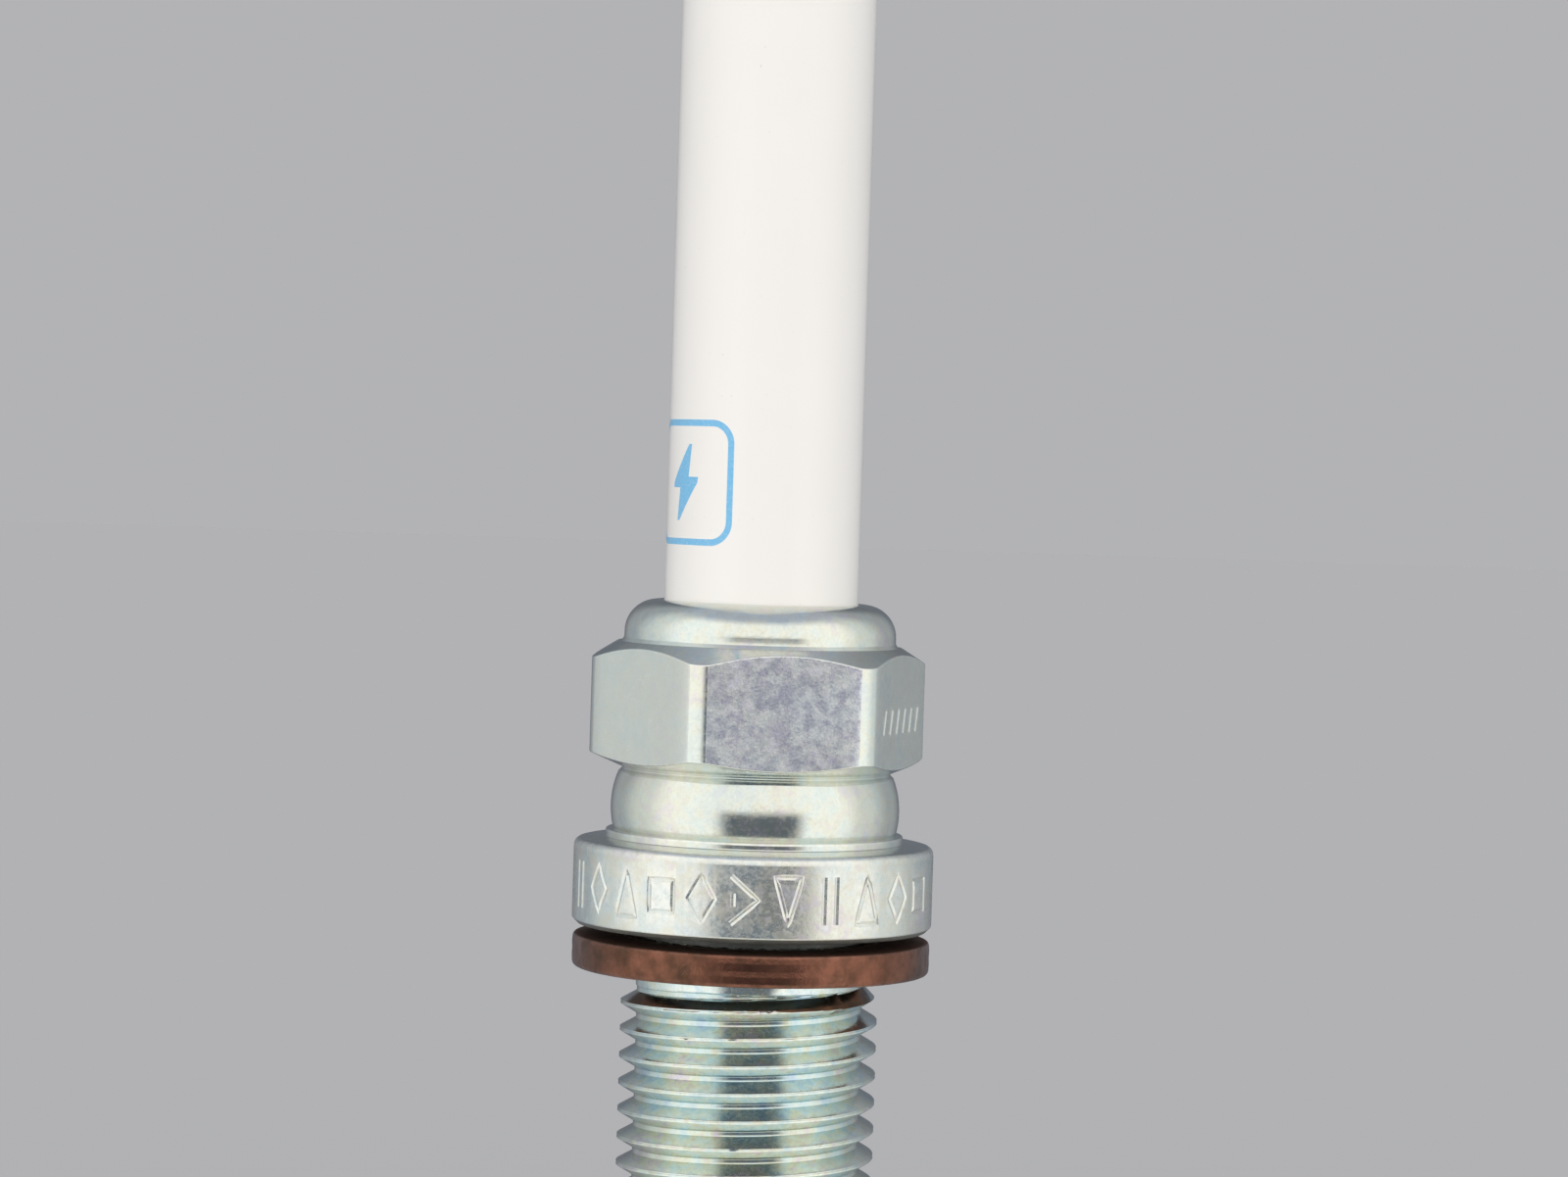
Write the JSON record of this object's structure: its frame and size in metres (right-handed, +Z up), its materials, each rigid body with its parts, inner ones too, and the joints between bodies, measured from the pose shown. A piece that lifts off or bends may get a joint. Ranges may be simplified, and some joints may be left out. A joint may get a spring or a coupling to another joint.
{
  "type": "spark plug",
  "caption": "Long reach spark plug with threaded steel shell, hexagon, crimped ceramic insulator, solid terminal, J-shaped ground electrode and a loose copper gasket.",
  "frame": {"origin": "centre of the shell's seat face, where the flange sits on its gasket", "axes": "+Z up the plug's axis towards the terminal; the ground electrode's root is on the +X side; the printed mark faces between -X and -Y"},
  "size_m": [0.0166, 0.0166, 0.0943],
  "materials": {
    "zinc_plate": "bright zinc plating with a faint blue and yellow tint over steel",
    "glazed_ceramic": "white alumina with a clear glaze and a small printed mark",
    "nickel_plate": "nickel plated steel, turned",
    "seal_glass": "dark copper-filled glass, fired in place",
    "resistor_glass": "black carbon-filled glass, fired in place",
    "nickel_alloy": "bare nickel alloy, drawn and formed",
    "bright_copper": "bare copper",
    "weld_metal": "heat-tinted weld metal",
    "noble_metal": "bare noble metal alloy",
    "talc": "pressed talc powder",
    "plain_steel": "plain steel wire and washer",
    "tarnished_copper": "copper, browned by storage, with brighter worn places"
  },
  "bodies": {
    "plug": {"shell": "zinc_plate", "insulator": "glazed_ceramic", "terminal_post": "nickel_plate", "upper_glass_seal": "seal_glass", "resistor": "resistor_glass", "lower_glass_seal": "seal_glass", "centre_electrode": "nickel_alloy", "electrode_copper_core": "bright_copper", "tip_weld": "weld_metal", "iridium_tip": "noble_metal", "talc_fill": "talc", "upper_packing_ring": "plain_steel", "lower_packing_ring": "plain_steel", "ledge_washer": "plain_steel", "ground_electrode": "nickel_alloy", "ground_copper_core": "bright_copper", "strap_weld": "weld_metal", "ground_pad": "noble_metal"},
    "gasket": {"copper_gasket": "tarnished_copper"}
  },
  "joints": [
    {"name": "gasket_slide", "type": "slide", "parent": "plug", "child": "gasket", "axis": [0, 0, 1], "range_m": [-0.0012, 0.00045]}
  ]
}
